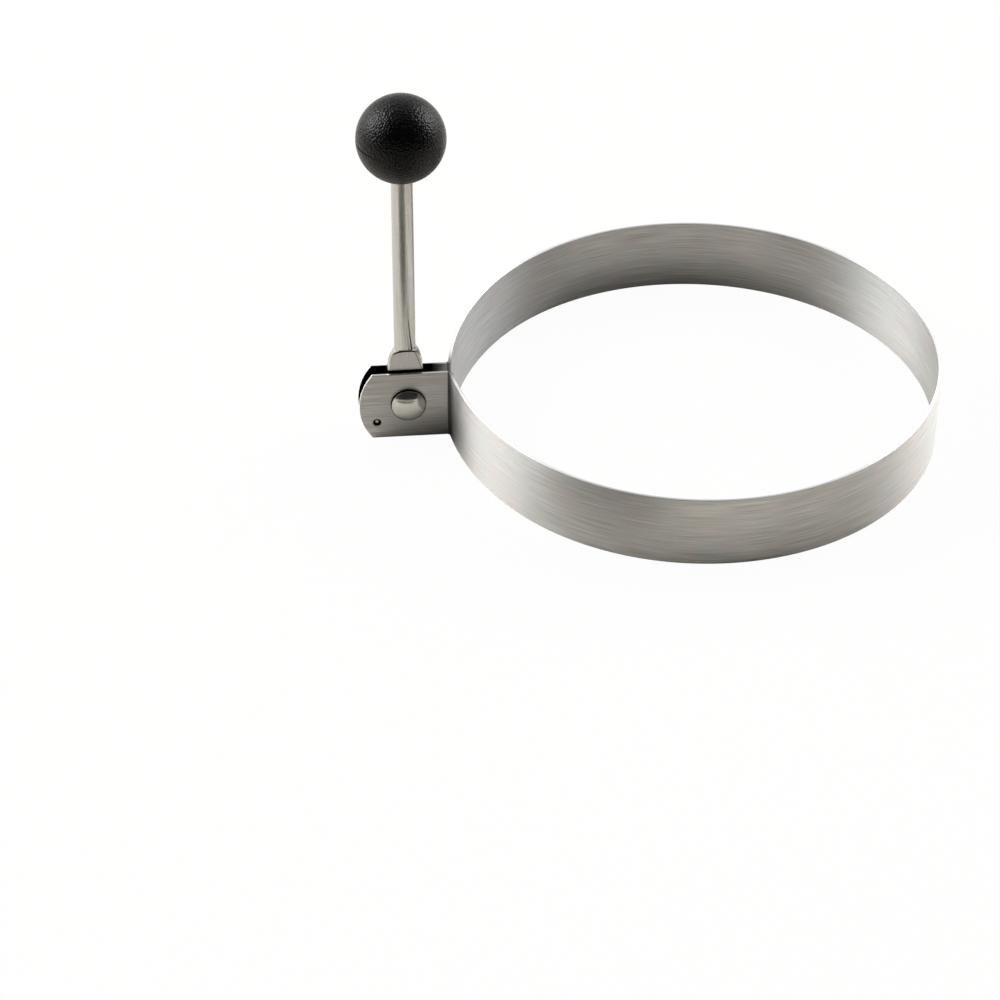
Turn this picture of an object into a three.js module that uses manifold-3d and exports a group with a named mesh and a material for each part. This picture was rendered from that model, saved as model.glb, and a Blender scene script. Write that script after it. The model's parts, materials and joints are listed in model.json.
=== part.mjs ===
// Egg ring: a hoop of steel strip that stands in the pan and holds an egg round while it fries.
// The strip's two ends are turned out side by side as ears, and a ball-topped handle is riveted
// between them, so that it stands up to lift the hoop and folds down into it to be stored.
// Millimetres. The ears and the hinge lie on the -X side, the hinge turns about Y, and +Z is up.
// The origin is under the middle of the whole object, on the plane that the hoop stands on.

import * as THREE from "three";
import { mergeVertices } from "three/addons/utils/BufferGeometryUtils.js";
import Module from "manifold-3d";

const wasm = await Module();
wasm.setup();

// Hoop: one strip, round over most of its length, which bows out slightly on its way to the ears.
const hoopRadius = 50;
const stripThickness = 0.6;
const stripHeight = 15.6;
const flareRadius = 60;
const flareAngle = THREE.MathUtils.degToRad(37);
const bendRadius = 0.6;

// Ears: the strip's two ends, with the hinge between them.
const pivotStandoff = 9.95;
const pivotHeight = 8.2;
const earOverhang = 10.1;
const earEndRadius = 12.6;
const rivetHoleClearance = 0.15;

// Stop: a dimple punched into each ear, whose bump inside halts the handle when it lies outwards,
// a few degrees above level, so that the knob stays clear of the pan.
const dimpleRadius = 0.75;
const dimpleDepth = 0.42;
const bumpHeight = 0.45;
const dimpleStandoff = 6.5;
const stopClearance = 0.1;
const stopRise = THREE.MathUtils.degToRad(5.2);

// Rivet: a domed head, a plain shank and a rolled tail with the mouth of its hollow end.
const shankRadius = 1.8;
const headRadius = 3.55;
const headRimHeight = 0.75;
const headHeight = 1.8;
const tailRadius = 2.9;
const tailHeight = 1.1;
const tailHoleRadius = 1.1;
const tailHoleDepth = 2.2;
const rivetSeatGap = 0.1;

// Handle: a tube whose lower end is pressed flat into a tang. The rivet's hole lies beside the
// tang's middle, on the hoop's side.
const tubeRadius = 2.2;
const tubeWall = 1;
const tangWidth = 7.45;
const tangHoleOffset = 0.4;
const tangSideClearance = 0.3;
const tangHoleClearance = 0.15;
const taperLength = 5.6;
const taperBias = 1.7;
const shoulderLength = 1.3;
const shoulderClearance = 0.7;
const neckLength = 0.1;
const archDroop = 1.2;
const restLean = THREE.MathUtils.degToRad(0.5);

// Knob: a moulded ball with its parting groove round the middle, pushed onto the tube.
const knobRadius = 9;
const knobReach = 62.75;
const grooveWidth = 0.24;
const grooveDepth = 0.2;
const boreDepth = 11;
const boreClearance = 0.15;
const boreEndGap = 0.5;
const boreChamfer = 0.3;

// One overrun carries every cut past the faces that it opens.
const cutOverrun = 1;

// Steps that the round shapes are divided into.
const hoopSteps = 44;
const flareSteps = 10;
const bendSteps = 7;
const earEndSteps = 18;
const tangEndSteps = 16;
const pinSteps = 32;
const dimpleSteps = 16;
const dimpleArcSteps = 4;
const headArcSteps = 8;
const rollSteps = 6;
const sectionEndSteps = 12;
const taperSteps = 22;
const knobSteps = 36;
const knobArcSteps = 14;

// Sizes that follow from the ones above.
const tangThickness = 2 * tubeWall;
const earInnerFace = tangThickness / 2 + tangSideClearance;
const earOuterFace = earInnerFace + stripThickness;
const pivotReach = hoopRadius + pivotStandoff;
const earTipReach = pivotReach + earOverhang;
const stopEdge = tangWidth / 2 + tangHoleOffset + stopClearance;
const dimpleDrop = stopEdge + dimpleRadius - dimpleStandoff * Math.tan(stopRise);

// The flare is tangent to the hoop, and the bend to the flare and to the ear's outer face.
const flareOffset = flareRadius - hoopRadius;
const flareCentre = new THREE.Vector2(flareOffset * Math.cos(flareAngle), -flareOffset * Math.sin(flareAngle));
const bendY = earOuterFace + bendRadius;
const bendX = flareCentre.x - Math.sqrt((flareRadius + bendRadius) ** 2 - (bendY - flareCentre.y) ** 2);
const bendCentre = new THREE.Vector2(bendX, bendY);
const bendTurn = Math.atan2(flareCentre.y - bendY, flareCentre.x - bendX);

// When the handle folds, its thick part has to pass inside the hoop's top corner beside the slit.
const slitReach = pivotReach + bendX + bendRadius + stripThickness;
const shoulderStart = Math.hypot(slitReach, stripHeight - pivotHeight) + shoulderClearance;
const taperEnd = shoulderStart + shoulderLength + neckLength;
const taperStart = taperEnd - taperLength;
const boreRadius = tubeRadius + boreClearance;
const boreTop = boreDepth - knobRadius;
const tubeTop = knobReach + boreTop - boreEndGap;

const bandSteel = new THREE.MeshStandardMaterial({ color: 0x9a958d, roughness: 0.34, metalness: 1 });
const tubeSteel = new THREE.MeshStandardMaterial({ color: 0xa5a29a, roughness: 0.2, metalness: 1 });
const rivetSteel = new THREE.MeshStandardMaterial({ color: 0xb5b3ae, roughness: 0.1, metalness: 1 });
const knobPlastic = new THREE.MeshStandardMaterial({ color: 0x151413, roughness: 0.55, metalness: 0 });

// Points along an arc in a plane, both ends included.
function arc(centre, radius, from, to, steps) {
  const points = [];
  for (let i = 0; i <= steps; i += 1) {
    const angle = from + ((to - from) * i) / steps;
    const x = centre.x + radius * Math.cos(angle);
    const y = centre.y + radius * Math.sin(angle);
    points.push(new THREE.Vector2(x, y));
  }
  return points;
}

function solidOf(geometry) {
  const bare = geometry.clone();
  bare.deleteAttribute("normal");
  bare.deleteAttribute("uv");
  const merged = mergeVertices(bare);
  const mesh = new wasm.Mesh({
    numProp: 3,
    vertProperties: merged.attributes.position.array,
    triVerts: new Uint32Array(merged.index.array),
  });
  return new wasm.Manifold(mesh);
}

function geometryOf(solid) {
  const mesh = solid.getMesh();
  const geometry = new THREE.BufferGeometry();
  geometry.setAttribute("position", new THREE.BufferAttribute(mesh.vertProperties, mesh.numProp));
  geometry.setIndex(new THREE.BufferAttribute(mesh.triVerts, 1));
  geometry.computeVertexNormals();
  return geometry;
}

// A plate whose outline is drawn in X and Z and which spans the same distance to both sides of Y = 0.
function plateAcrossY(points, halfWidth) {
  const shape = new THREE.Shape(points);
  const plate = new THREE.ExtrudeGeometry(shape, { depth: 2 * halfWidth, bevelEnabled: false });
  plate.rotateX(Math.PI / 2);
  plate.translate(0, halfWidth, 0);
  return solidOf(plate);
}

function pinAlongY(radius, halfLength, x, z) {
  const pin = new THREE.CylinderGeometry(radius, radius, 2 * halfLength, pinSteps);
  pin.translate(x, 0, z);
  return solidOf(pin);
}

// A lens-shaped body of revolution about Y, bulging from the plane y = face on both sides.
function lensAlongY(radius, height, x, face, z) {
  const bulge = (radius * radius + height * height) / (2 * height);
  const halfAngle = Math.asin(radius / bulge);
  const upper = arc(new THREE.Vector2(0, height - bulge), bulge, Math.PI / 2 - halfAngle, Math.PI / 2, dimpleArcSteps);
  const lower = upper.map((point) => new THREE.Vector2(point.x, -point.y)).reverse();
  const profile = [...lower, ...upper.slice(1)];
  profile[0].x = 0;
  profile[profile.length - 1].x = 0;
  const lens = new THREE.LatheGeometry(profile, dimpleSteps);
  lens.translate(x, face, z);
  return solidOf(lens);
}

// One face of the strip in plan, from the ear's tip over the bend and the flare onto the hoop.
// An inset of zero gives the outside face, and an inset of the thickness the inside one.
function stripFace(inset) {
  const tip = new THREE.Vector2(-earTipReach - cutOverrun, earOuterFace - inset);
  const bend = arc(bendCentre, bendRadius + inset, -Math.PI / 2, bendTurn, bendSteps);
  const flare = arc(flareCentre, flareRadius - inset, Math.PI + bendTurn, Math.PI - flareAngle, flareSteps);
  const hoop = arc(new THREE.Vector2(), hoopRadius - inset, Math.PI - flareAngle, 0, hoopSteps);
  return [tip, ...bend, ...flare.slice(1), ...hoop.slice(1)];
}

function mirrored(points) {
  return points.map((point) => new THREE.Vector2(point.x, -point.y));
}

function makeRingBand() {
  const outside = stripFace(0);
  const inside = stripFace(stripThickness);
  const outline = [
    ...outside,
    ...mirrored(outside).reverse().slice(1),
    ...mirrored(inside),
    ...inside.reverse().slice(1),
  ];
  const strip = new THREE.ExtrudeGeometry(new THREE.Shape(outline), { depth: stripHeight, bevelEnabled: false });
  const earEndCentre = new THREE.Vector2(earEndRadius - earTipReach, stripHeight / 2);
  const reach = stripHeight / 2 + cutOverrun;
  const halfTurn = Math.asin(reach / earEndRadius);
  const farSide = hoopRadius + cutOverrun;
  const silhouette = [
    ...arc(earEndCentre, earEndRadius, Math.PI - halfTurn, Math.PI + halfTurn, earEndSteps),
    new THREE.Vector2(farSide, -cutOverrun),
    new THREE.Vector2(farSide, stripHeight + cutOverrun),
  ];
  const holeRadius = shankRadius + rivetHoleClearance;
  let band = solidOf(strip).intersect(plateAcrossY(silhouette, farSide));
  band = band.subtract(pinAlongY(holeRadius, earOuterFace + cutOverrun, -pivotReach, pivotHeight));
  const dimpleX = -pivotReach - dimpleStandoff;
  const dimpleZ = pivotHeight - dimpleDrop;
  for (const side of [-1, 1]) {
    const bump = lensAlongY(dimpleRadius, bumpHeight, dimpleX, side * earInnerFace, dimpleZ);
    const dimple = lensAlongY(dimpleRadius, dimpleDepth, dimpleX, side * earOuterFace, dimpleZ);
    band = band.add(bump).subtract(dimple);
  }
  return geometryOf(band);
}

// The rivet is turned about Y, with its head on the -Y side and its rolled tail on the +Y side.
function makePivotRivet() {
  const seat = earOuterFace + rivetSeatGap;
  const domeHeight = headHeight - headRimHeight;
  const domeRadius = (headRadius ** 2 + domeHeight ** 2) / (2 * domeHeight);
  const domeHalfAngle = Math.asin(headRadius / domeRadius);
  const domeCentre = new THREE.Vector2(0, domeRadius - seat - headHeight);
  const dome = arc(domeCentre, domeRadius, -Math.PI / 2, -Math.PI / 2 + domeHalfAngle, headArcSteps);
  dome[0].x = 0;
  const tailEnd = seat + tailHeight;
  const rollRadius = (tailRadius - tailHoleRadius) / 2;
  const rollCentre = new THREE.Vector2(tailHoleRadius + rollRadius, tailEnd - rollRadius);
  const roll = arc(rollCentre, rollRadius, 0, Math.PI, rollSteps);
  const profile = [
    ...dome,
    new THREE.Vector2(headRadius, -seat),
    new THREE.Vector2(shankRadius, -seat),
    new THREE.Vector2(shankRadius, seat),
    new THREE.Vector2(tailRadius, seat),
    ...roll,
    new THREE.Vector2(tailHoleRadius, tailEnd - tailHoleDepth),
    new THREE.Vector2(0, tailEnd - tailHoleDepth),
  ];
  return new THREE.LatheGeometry(profile, pinSteps);
}

// A slot-shaped section across the handle: flat on two faces, and round at its two edges.
// A half width equal to the half thickness makes it a circle. The droop lowers it towards its edges.
function tubeSection(height, halfWidth, halfThickness, droop) {
  const flat = halfWidth - halfThickness;
  const rightEdge = new THREE.Vector2(flat, 0);
  const leftEdge = new THREE.Vector2(-flat, 0);
  const points = [
    ...arc(rightEdge, halfThickness, -Math.PI / 2, Math.PI / 2, sectionEndSteps),
    ...arc(leftEdge, halfThickness, Math.PI / 2, (3 * Math.PI) / 2, sectionEndSteps),
  ];
  return points.map((point) => {
    const drop = droop * (point.x / halfWidth) ** 2;
    return new THREE.Vector3(point.x, point.y, height - drop);
  });
}

// A closed body through a row of sections, each with the same number of points.
function loft(sections) {
  const around = sections[0].length;
  const last = (sections.length - 1) * around;
  const index = [];
  for (let row = 0; row < last; row += around) {
    for (let i = 0; i < around; i += 1) {
      const next = (i + 1) % around;
      index.push(row + i, row + next, row + around + next);
      index.push(row + i, row + around + next, row + around + i);
    }
  }
  for (let i = 1; i < around - 1; i += 1) {
    index.push(0, i + 1, i);
    index.push(last, last + i, last + i + 1);
  }
  const geometry = new THREE.BufferGeometry();
  geometry.setFromPoints(sections.flat());
  geometry.setIndex(index);
  return geometry;
}

// The share of the way from one height to another, held between 0 and 1 and eased at both ends.
function eased(height, from, to, bias) {
  const share = THREE.MathUtils.clamp((height - from) / (to - from), 0, 1);
  return THREE.MathUtils.smoothstep(share ** bias, 0, 1);
}

// The handle's own zero is its middle at the rivet's height, and it rises along Z.
function makeHandleTube() {
  const outer = [tubeSection(-tangWidth, tangWidth / 2, tangThickness / 2, 0)];
  const inner = [];
  for (let i = 0; i <= taperSteps; i += 1) {
    const share = i / taperSteps;
    const height = THREE.MathUtils.lerp(taperStart, taperEnd, share);
    const narrowing = eased(height, taperStart, taperEnd, taperBias);
    const swelling = eased(height, shoulderStart, shoulderStart + shoulderLength, 1);
    const halfWidth = THREE.MathUtils.lerp(tangWidth / 2, tubeRadius, narrowing);
    const fullThickness = THREE.MathUtils.lerp(tangThickness / 2, tubeRadius, swelling);
    const halfThickness = Math.min(fullThickness, halfWidth);
    const droop = archDroop * Math.sin(Math.PI * share);
    outer.push(tubeSection(height, halfWidth, halfThickness, droop));
    if (swelling === 1) {
      inner.unshift(tubeSection(height, halfWidth - tubeWall, halfThickness - tubeWall, droop));
    }
  }
  outer.push(tubeSection(tubeTop, tubeRadius, tubeRadius, 0));
  inner.unshift(tubeSection(tubeTop, tubeRadius - tubeWall, tubeRadius - tubeWall, 0));
  const silhouette = [
    ...arc(new THREE.Vector2(), tangWidth / 2, Math.PI, 2 * Math.PI, tangEndSteps),
    new THREE.Vector2(tangWidth / 2, tubeTop + cutOverrun),
    new THREE.Vector2(-tangWidth / 2, tubeTop + cutOverrun),
  ];
  const holeRadius = shankRadius + tangHoleClearance;
  const body = solidOf(loft([...outer, ...inner]));
  const rounded = body.intersect(plateAcrossY(silhouette, tubeRadius + cutOverrun));
  return geometryOf(rounded.subtract(pinAlongY(holeRadius, tangThickness, tangHoleOffset, 0)));
}

// The ball is turned about its bore, with the ball's centre at zero and the bore's mouth below.
function makeBallKnob() {
  const mouthRadius = boreRadius + boreChamfer;
  const mouthAngle = Math.acos(mouthRadius / knobRadius);
  const mouthDrop = Math.sqrt(knobRadius ** 2 - mouthRadius ** 2);
  const grooveAngle = Math.asin(grooveWidth / 2 / knobRadius);
  const centre = new THREE.Vector2();
  const lower = arc(centre, knobRadius, -mouthAngle, -grooveAngle, knobArcSteps);
  const upper = arc(centre, knobRadius, grooveAngle, Math.PI / 2, knobArcSteps);
  upper[knobArcSteps].x = 0;
  const profile = [
    new THREE.Vector2(0, boreTop),
    new THREE.Vector2(boreRadius, boreTop),
    new THREE.Vector2(boreRadius, boreChamfer - mouthDrop),
    ...lower,
    new THREE.Vector2(knobRadius - grooveDepth, 0),
    ...upper,
  ];
  const ball = new THREE.LatheGeometry(profile, knobSteps);
  ball.rotateX(Math.PI / 2);
  return ball;
}

function named(name, geometry, material) {
  const mesh = new THREE.Mesh(geometry, material);
  mesh.name = name;
  return mesh;
}

const eggRing = new THREE.Group();
eggRing.position.x = (earTipReach - hoopRadius) / 2;

eggRing.add(named("ring_band", makeRingBand(), bandSteel));

const pivotRivet = named("pivot_rivet", makePivotRivet(), rivetSteel);
pivotRivet.position.set(-pivotReach, 0, pivotHeight);
eggRing.add(pivotRivet);

// The handle leans outwards a little where it stands at rest.
const handle = new THREE.Group();
handle.position.copy(pivotRivet.position);
handle.rotation.y = -restLean;
const handleTube = named("handle_tube", makeHandleTube(), tubeSteel);
handleTube.position.x = -tangHoleOffset;
handle.add(handleTube);
const ballKnob = named("ball_knob", makeBallKnob(), knobPlastic);
ballKnob.position.set(-tangHoleOffset, 0, knobReach);
handle.add(ballKnob);
eggRing.add(handle);

export default eggRing;
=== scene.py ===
# An egg ring with its finishes: brushed strip steel, a drawn tube pressed flat at its foot,
# a polished rivet and a grained plastic ball. Metres, +Z up, in the frame's own axes.

import json
import math

import bmesh
import bpy
from mathutils import Matrix, Vector


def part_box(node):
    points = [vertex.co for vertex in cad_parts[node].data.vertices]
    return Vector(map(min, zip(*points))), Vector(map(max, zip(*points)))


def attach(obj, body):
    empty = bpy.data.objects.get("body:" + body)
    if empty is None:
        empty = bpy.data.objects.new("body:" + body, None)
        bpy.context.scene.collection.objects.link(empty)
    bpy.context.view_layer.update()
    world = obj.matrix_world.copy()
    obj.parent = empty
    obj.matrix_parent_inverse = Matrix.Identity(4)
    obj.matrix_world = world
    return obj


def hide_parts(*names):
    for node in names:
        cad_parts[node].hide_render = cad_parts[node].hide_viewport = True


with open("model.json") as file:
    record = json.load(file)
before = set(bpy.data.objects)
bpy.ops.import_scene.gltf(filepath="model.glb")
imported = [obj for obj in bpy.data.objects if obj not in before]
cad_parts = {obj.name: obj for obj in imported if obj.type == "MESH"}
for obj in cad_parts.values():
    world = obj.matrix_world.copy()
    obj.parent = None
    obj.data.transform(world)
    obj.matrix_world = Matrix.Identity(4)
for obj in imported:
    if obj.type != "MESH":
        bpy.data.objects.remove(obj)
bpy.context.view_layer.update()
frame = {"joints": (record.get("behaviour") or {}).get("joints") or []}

# Strip: the sizes that its box doesn't give.
STRIP_THICKNESS = 0.0006
EDGE_RADIUS = 0.00009
FLARE_RADIUS = 0.060
FLARE_ANGLE = math.radians(37)
BEND_RADIUS = 0.0006
EAR_OUTER_FACE = 0.0019
EAR_END_RADIUS = 0.0126
RIVET_HOLE_RADIUS = 0.00195

# Stop dimple in each ear: a punched bowl outside, a rounded bump inside.
DIMPLE_STANDOFF = 0.0065
DIMPLE_DROP = 0.00438
DIMPLE_RADIUS = 0.00078
DIMPLE_DEPTH = 0.00042
DIMPLE_SKIRT = 0.0006
DIMPLE_SKIRT_DEPTH = 0.00003
DIMPLE_STEP = 0.00011
DIMPLE_BOWL_POWER = 0.8

# Rivet: a domed head on the -Y side and a rolled hollow tail on the +Y side.
SHANK_RADIUS = 0.0018
RIVET_SEAT = 0.002
HEAD_RADIUS = 0.00355
HEAD_HEIGHT = 0.0018
HEAD_RIM_HEIGHT = 0.00075
HEAD_RIM_ROUND = 0.00045
TAIL_RADIUS = 0.0029
TAIL_HEIGHT = 0.0011
TAIL_HOLE_RADIUS = 0.0011
TAIL_HOLE_DEPTH = 0.0022

# Handle: heights are measured up from the rivet's axis, which lies beside the tang's middle.
REST_LEAN = math.radians(0.5)
TUBE_RADIUS = 0.0022
TUBE_WALL = 0.001
TANG_WIDTH = 0.00745
TANG_THICKNESS = 0.002
TANG_HOLE_OFFSET = 0.0004
TAPER_END = 0.01272
LEFT_TAPER_START = 0.0078
LEFT_TAPER_POWER = 2.4
RIGHT_TAPER_START = 0.00592
SHOULDER_START = 0.01246
SHOULDER_LENGTH = 0.0013
ARCH_DROOP = 0.0012
RIGHT_DROOP_SHARE = 1.4
DROOP_START = 0.00826
DROOP_END = 0.01386
TUBE_TOP = 0.06425

# The die's imprint on the tang: its face lies a step below the tube's folded edges, and its top is
# an arch that bites into the shoulder and runs steeply down on the +X side.
TANG_EDGE_ROUND = 0.0006
IMPRINT_MARGIN = 0.00034
IMPRINT_MARGIN_TOP = 0.0011
IMPRINT_MARGIN_START = 0.00845
PRESS_STEP = 0.00009
PRESS_STEP_WIDTH = 0.00012
ARCH_BITE = 0.00022
ARCH_BITE_WIDTH = 0.00018
ARCH_STEEPNESS = 3.6

# The fold that the press leaves up the front of the tube, from the arch until it fades out.
CREASE_FOOT = 0.01262
CREASE_TOP = 0.02392
CREASE_FOOT_OFFSET = 0.00138
CREASE_TOP_OFFSET = 0.0005
CREASE_DEPTH = 0.00032
CREASE_HALF_WIDTH = 0.00036
CREASE_STEEP_SHARE = 0.35
CREASE_TOP_WIDTH_SHARE = 0.4
CREASE_RISE_SHARE = 0.4
CREASE_CURVE = 1.4

# Painted shade on the handle: shares of black, and the places and half widths of its lines.
SLOT_SHADE_HEIGHT = 0.00785
SLOT_SHADE_FADE = 0.00012
ARCH_SHADE_PEAK = 1.6
ARCH_SHADE_HALF_WIDTH = 0.0002
ARCH_SHADE_LEFT = 0.0023
RIM_SHADE = 0.9
RIM_SHADE_HALF_WIDTH = 0.0002
CREASE_SHADE = 1.0
# A slight darkening of the imprint's face.
IMPRINT_DARKENING = 0.1
CREASE_SHADE_HALF_WIDTH = 0.0002
CORNER_TOP_SHADE = 0.75
CORNER_TOP_RISE = 0.0006
CORNER_TOP_REACH = 0.0009
CORNER_TOP_X = 0.0009

# Knob: a ball with its parting groove, the mark of its mould's gate and the bore for the tube.
KNOB_REACH = 0.06275
GROOVE_HALF_WIDTH = 0.00013
GROOVE_DEPTH = 0.00022
GROOVE_FAINT_SHARE = 0.15
GROOVE_FAINT_END = 0.35
GATE_ANGLE = math.radians(-79)
GATE_RADIUS = 0.0006
GATE_LIP = 0.00018
GATE_HEIGHT = 0.00008
BORE_RADIUS = 0.00235
BORE_TOP = 0.002
BORE_CHAMFER = 0.0003

# Photograph's camera: a long lens from the front, a little to the left and well above. The lens and
# the sensor are in millimetres.
CAMERA_PLACE = Vector((-0.09719, -0.66677, 0.48538))
CAMERA_AZIMUTH = math.radians(-5.7)
CAMERA_PITCH = math.radians(36.98)
CAMERA_ROLL = math.radians(0.54)
CAMERA_LENS = 143.5
CAMERA_SENSOR = 36
CAMERA_CLIP_START = 0.01

band_low, band_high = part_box("ring_band")
STRIP_HEIGHT = band_high.z
HOOP_RADIUS = (band_high.y - band_low.y) / 2
HOOP_CENTRE_X = band_high.x - HOOP_RADIUS
EAR_TIP_X = band_low.x
PIVOT = Vector(frame["joints"][0]["pos_m"])
KNOB_RADIUS = (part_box("ball_knob")[1].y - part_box("ball_knob")[0].y) / 2
GRAIN_MAP = "grain"
# UV map that carries the share of painted shade.
PAINTED_SHADE_MAP = "grime"


def clamp(value, low=0.0, high=1.0):
    return max(low, min(high, value))


def lerp(start, end, share):
    return start + (end - start) * share


def smooth_step(share):
    share = clamp(share)
    return share * share * (3 - 2 * share)


def spread(start, end, steps):
    """Evenly spaced values from start to end, both included."""
    return [lerp(start, end, i / steps) for i in range(steps + 1)]


def arc(centre, radius, start, end, steps):
    """Points along an arc in a plane, both ends included."""
    return [centre + radius * Vector((math.cos(a), math.sin(a))) for a in spread(start, end, steps)]


def loft(name, rings, around):
    """A mesh through a row of closed rings. A ring's point is a place, its distance along the grain and
    its share of painted shade, and around holds the distance of each point round the ring, with the
    whole way round last."""
    bm = bmesh.new()
    grain = bm.loops.layers.uv.new(GRAIN_MAP)
    grime = bm.loops.layers.uv.new(PAINTED_SHADE_MAP)
    rows = [[bm.verts.new(point[0]) for point in ring] for ring in rings]
    count = len(rows[0])
    for r in range(len(rows) - 1):
        for i in range(count):
            j = (i + 1) % count
            here, there = around[i], around[i + 1]
            corners = [(r, i, here), (r, j, there), (r + 1, j, there), (r + 1, i, here)]
            face = bm.faces.new([rows[row][k] for row, k, _ in corners])
            for loop, (row, k, across) in zip(face.loops, corners):
                loop[grain].uv = (across, rings[row][k][1])
                loop[grime].uv = (rings[row][k][2], 0)
    for row in (0, len(rows) - 1):
        face = bm.faces.new(rows[row])
        for loop, point, across in zip(face.loops, rings[row], around):
            loop[grain].uv = (across, point[1])
            loop[grime].uv = (point[2], 0)
    return finished(name, bm)


WELD_DISTANCE = 1e-7


def finished(name, bm):
    """Welds what lies together, drops what has no area, faces everything outwards and makes the object."""
    bmesh.ops.remove_doubles(bm, verts=bm.verts, dist=WELD_DISTANCE)
    bmesh.ops.dissolve_degenerate(bm, edges=bm.edges, dist=WELD_DISTANCE)
    bmesh.ops.recalc_face_normals(bm, faces=bm.faces)
    return new_object(name, bm)


def new_object(name, bm):
    mesh = bpy.data.meshes.new(name)
    bm.to_mesh(mesh)
    bm.free()
    made = bpy.data.objects.new(name, mesh)
    bpy.context.scene.collection.objects.link(made)
    return made


SHARP_ANGLE = math.radians(38)


def shade(piece):
    """Smooth shading with sharp edges where the shape turns hard."""
    piece.data.shade_smooth()
    piece.data.set_sharp_from_angle(angle=SHARP_ANGLE)


def prism_along_y(name, outline, half_length):
    """A plate or pin along Y, with its outline in X and Z."""
    rings = [[(Vector((p.x, y, p.y)), y, 0) for p in outline] for y in (-half_length, half_length)]
    return loft(name, rings, spread(0, 1, len(outline)))


def cut(piece, tool, operation):
    """Applies a boolean to the piece and deletes the tool."""
    modifier = piece.modifiers.new("cut", "BOOLEAN")
    modifier.operation = operation
    modifier.solver = "EXACT"
    modifier.object = tool
    depsgraph = bpy.context.evaluated_depsgraph_get()
    mesh = bpy.data.meshes.new_from_object(piece.evaluated_get(depsgraph))
    piece.modifiers.clear()
    old = piece.data
    piece.data = mesh
    mesh.name = piece.name
    bpy.data.meshes.remove(old)
    bpy.data.objects.remove(tool)


CUT_OVERRUN = 0.001
HOLE_STEPS = 64


def circle(centre, radius, steps=HOLE_STEPS):
    return arc(centre, radius, 0, 2 * math.pi, steps)[:-1]


# Strip's path in plan, from an ear over its bend and flare onto the hoop.

EAR_INNER_FACE = EAR_OUTER_FACE - STRIP_THICKNESS
EAR_MIDDLE = (EAR_OUTER_FACE + EAR_INNER_FACE) / 2
HALF_THICKNESS = STRIP_THICKNESS / 2
MIDDLE = Vector((HOOP_CENTRE_X, 0))
FLARE_OFFSET = FLARE_RADIUS - HOOP_RADIUS
FLARE_CENTRE = MIDDLE + FLARE_OFFSET * Vector((math.cos(FLARE_ANGLE), -math.sin(FLARE_ANGLE)))
BEND_Y = EAR_OUTER_FACE + BEND_RADIUS
BEND_RISE = BEND_Y - FLARE_CENTRE.y
BEND_X = FLARE_CENTRE.x - math.sqrt((FLARE_RADIUS + BEND_RADIUS) ** 2 - BEND_RISE**2)
BEND_CENTRE = Vector((BEND_X, BEND_Y))
BEND_TURN = math.atan2(FLARE_CENTRE.y - BEND_Y, FLARE_CENTRE.x - BEND_X)
DIMPLE_X = PIVOT.x - DIMPLE_STANDOFF
DIMPLE_Z = PIVOT.z - DIMPLE_DROP

HOOP_STEPS = 110
FLARE_STEPS = 24
EAR_END_STEPS = 2
BEND_STEPS = 14
EAR_STEPS = 10
CORNER_STEPS = 3
EDGE_SUPPORT = 0.00005
FACE_ROW_GAP = 0.0016


def curved_stations():
    """Half of the strip's curved part: each station's middle point, outward normal and distance
    from the ear's end of the bend."""
    stations = []
    distance = 0
    flare_end = math.pi - FLARE_ANGLE
    parts = (
        (BEND_CENTRE, BEND_RADIUS + HALF_THICKNESS, -math.pi / 2, BEND_TURN, BEND_STEPS, -1),
        (FLARE_CENTRE, FLARE_RADIUS - HALF_THICKNESS, math.pi + BEND_TURN, flare_end, FLARE_STEPS, 1),
        (MIDDLE, HOOP_RADIUS - HALF_THICKNESS, flare_end, 0, HOOP_STEPS, 1),
    )
    for centre, radius, start, end, steps, side in parts:
        points = arc(centre, radius, start, end, steps)
        length = radius * abs(end - start) / steps
        for i, point in enumerate(points):
            if stations and i == 0:
                continue
            distance += length if i else 0
            stations.append((point, side * (point - centre).normalized(), distance))
    return stations


def without_crowding(values, centre, reach):
    return [v for v in values if abs(v - centre) > reach]


def strip_section():
    """Points round the strip as (outward offset, height), up the outside face and down the inside one."""
    low, high = EDGE_RADIUS, STRIP_HEIGHT - EDGE_RADIUS
    reach = DIMPLE_RADIUS + DIMPLE_SKIRT
    count = round((high - low) / FACE_ROW_GAP)
    plain = without_crowding(spread(low, high, count), DIMPLE_Z, reach + FACE_ROW_GAP / 2)
    fine = spread(DIMPLE_Z - reach, DIMPLE_Z + reach, round(2 * reach / DIMPLE_STEP))
    heights = sorted({*plain, *fine, low + EDGE_SUPPORT, high - EDGE_SUPPORT})
    inset = HALF_THICKNESS - EDGE_RADIUS
    corners = spread(0, math.pi / 2, CORNER_STEPS)[1:]
    top_edge = [(inset + EDGE_RADIUS * math.cos(a), high + EDGE_RADIUS * math.sin(a)) for a in corners]
    top_edge += [(-offset, height) for offset, height in reversed(top_edge)]
    bottom_edge = [(-offset, STRIP_HEIGHT - height) for offset, height in top_edge]
    outside = [(HALF_THICKNESS, height) for height in heights]
    inside = [(-HALF_THICKNESS, height) for height in reversed(heights)]
    return [*outside, *top_edge, *inside, *bottom_edge]


def way_round(points):
    """Distance of each point round a closed row of points, with the whole way round last."""
    distances = [0]
    for here, there in zip(points, [*points[1:], points[0]]):
        distances.append(distances[-1] + math.dist(here, there))
    return distances


def ear_end_x(height):
    """Where the ear's rounded end lies at a height."""
    rise = height - STRIP_HEIGHT / 2
    return EAR_TIP_X + EAR_END_RADIUS - math.sqrt(EAR_END_RADIUS**2 - rise**2)


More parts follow.
